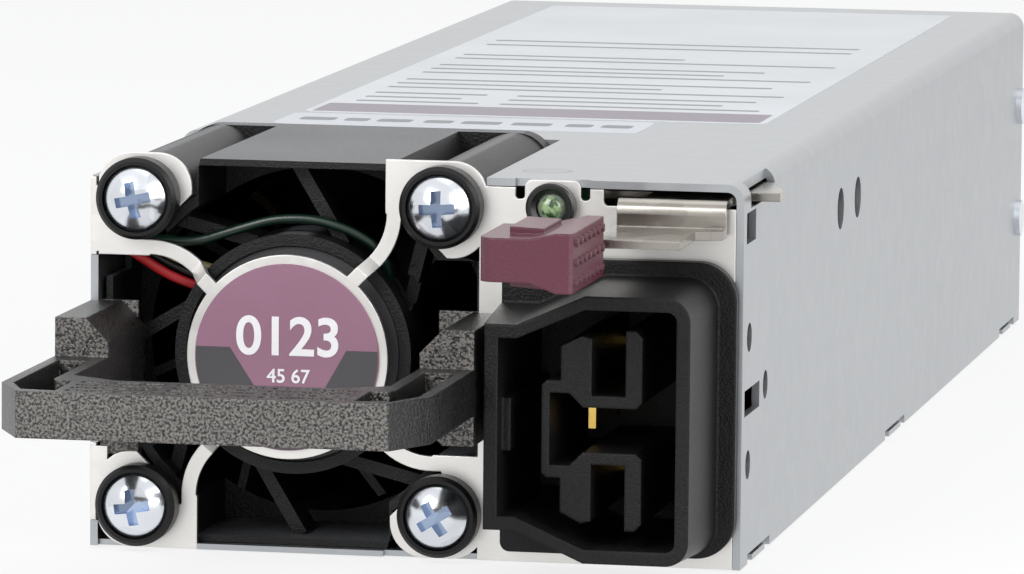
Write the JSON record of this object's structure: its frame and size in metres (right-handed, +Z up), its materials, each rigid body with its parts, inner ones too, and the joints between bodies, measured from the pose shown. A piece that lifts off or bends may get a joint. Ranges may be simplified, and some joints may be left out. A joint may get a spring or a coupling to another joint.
{
  "type": "hot swap server power supply",
  "caption": "Slide-in power supply in a folded steel case with a front fan, a bail handle, a sprung side latch, a keyed power inlet and a rear card edge.",
  "frame": {"origin": "under the middle of the case, on its bottom face", "axes": "+Z up, +Y along the case towards the card edge, +X to the right seen from the front, where the handle is"},
  "size_m": [0.0718, 0.2667, 0.0413],
  "materials": {
    "case_steel": "satin zinc-coated sheet",
    "plate_steel": "satin zinc-coated sheet",
    "lever_steel": "satin",
    "rivet_steel": "satin",
    "spring_steel": "satin",
    "screw_zinc": "bright zinc",
    "bearing_steel": "polished",
    "core_steel": "satin",
    "badge_print": "printed film",
    "grommet_rubber": "matte",
    "fan_plastic": "matte",
    "board_green": "satin",
    "copper": "varnished wire",
    "magnet": "matte",
    "label_grey": "matte film",
    "wire_red": "satin",
    "wire_black": "satin",
    "wire_yellow": "satin",
    "wire_green": "satin",
    "connector_white": "satin",
    "handle_plastic": "grained",
    "tab_plastic": "satin",
    "bezel_plastic": "satin",
    "led_lens": "frosted",
    "inlet_plastic": "satin",
    "contact_brass": "satin",
    "contact_gold": "plated",
    "insulator_film": "translucent film",
    "capacitor_yellow": "satin",
    "capacitor_blue": "satin",
    "capacitor_green": "satin",
    "ceramic_white": "satin",
    "relay_plastic": "satin",
    "semiconductor": "satin",
    "heatsink_aluminium": "extruded",
    "capacitor_sleeve": "shrink sleeve",
    "ferrite": "matte",
    "winding_tape": "taped",
    "capacitor_can": "satin"
  },
  "bodies": {
    "case": {"top_cover": "case_steel", "base_pan": "case_steel", "rear_panel": "case_steel", "cover_screws": "screw_zinc", "front_plate": "plate_steel", "badge": "badge_print", "fan_grommets": "grommet_rubber", "fan_screws": "screw_zinc", "fan_frame": "fan_plastic", "fan_bearings": "bearing_steel", "fan_circuit_board": "board_green", "fan_stator": "core_steel", "fan_coils": "copper", "fan_hub_label": "label_grey", "fan_lead_red": "wire_red", "fan_lead_black": "wire_black", "fan_lead_yellow": "wire_yellow", "fan_lead_green": "wire_green", "fan_connector": "connector_white", "handle": "handle_plastic", "latch_spring": "spring_steel", "latch_bracket": "lever_steel", "latch_guide_rivet": "rivet_steel", "led_bezel": "bezel_plastic", "status_led": "led_lens", "led_board": "board_green", "inlet_body": "inlet_plastic", "ground_contact": "contact_brass", "neutral_contact": "contact_brass", "line_contact": "contact_brass", "inlet_wires": "wire_black", "main_board": "board_green", "edge_contacts": "contact_gold", "board_standoffs": "contact_brass", "board_screws": "screw_zinc", "insulator_sheet": "insulator_film", "noise_chokes": "copper", "mains_capacitors": "capacitor_yellow", "safety_capacitors": "capacitor_blue", "fuse": "ceramic_white", "inrush_thermistor": "capacitor_green", "relay": "relay_plastic", "bridge_rectifier": "semiconductor", "primary_heatsink": "heatsink_aluminium", "secondary_heatsink": "heatsink_aluminium", "power_transistors": "semiconductor", "boost_choke": "copper", "bulk_capacitor": "capacitor_sleeve", "transformer_core": "ferrite", "transformer_windings": "winding_tape", "resonant_choke": "ferrite", "output_capacitors": "capacitor_can", "output_inductor": "copper", "control_board": "board_green"},
    "fan_wheel": {"fan_rotor": "fan_plastic", "fan_shaft": "bearing_steel", "fan_magnet_ring": "magnet"},
    "latch": {"latch_lever": "lever_steel", "latch_tab": "tab_plastic"}
  },
  "joints": [
    {"name": "fan_spin", "type": "hinge", "parent": "case", "child": "fan_wheel", "pos_m": [-0.013, -0.088, 0.02065], "axis": [0, 1, 0], "continuous": true},
    {"name": "latch_slide", "type": "slide", "parent": "case", "child": "latch", "axis": [-1, 0, 0], "range_m": [0, 0.003], "stiffness_N_per_m": 400, "springref_m": -0.002, "deforming": ["latch_spring"]}
  ]
}
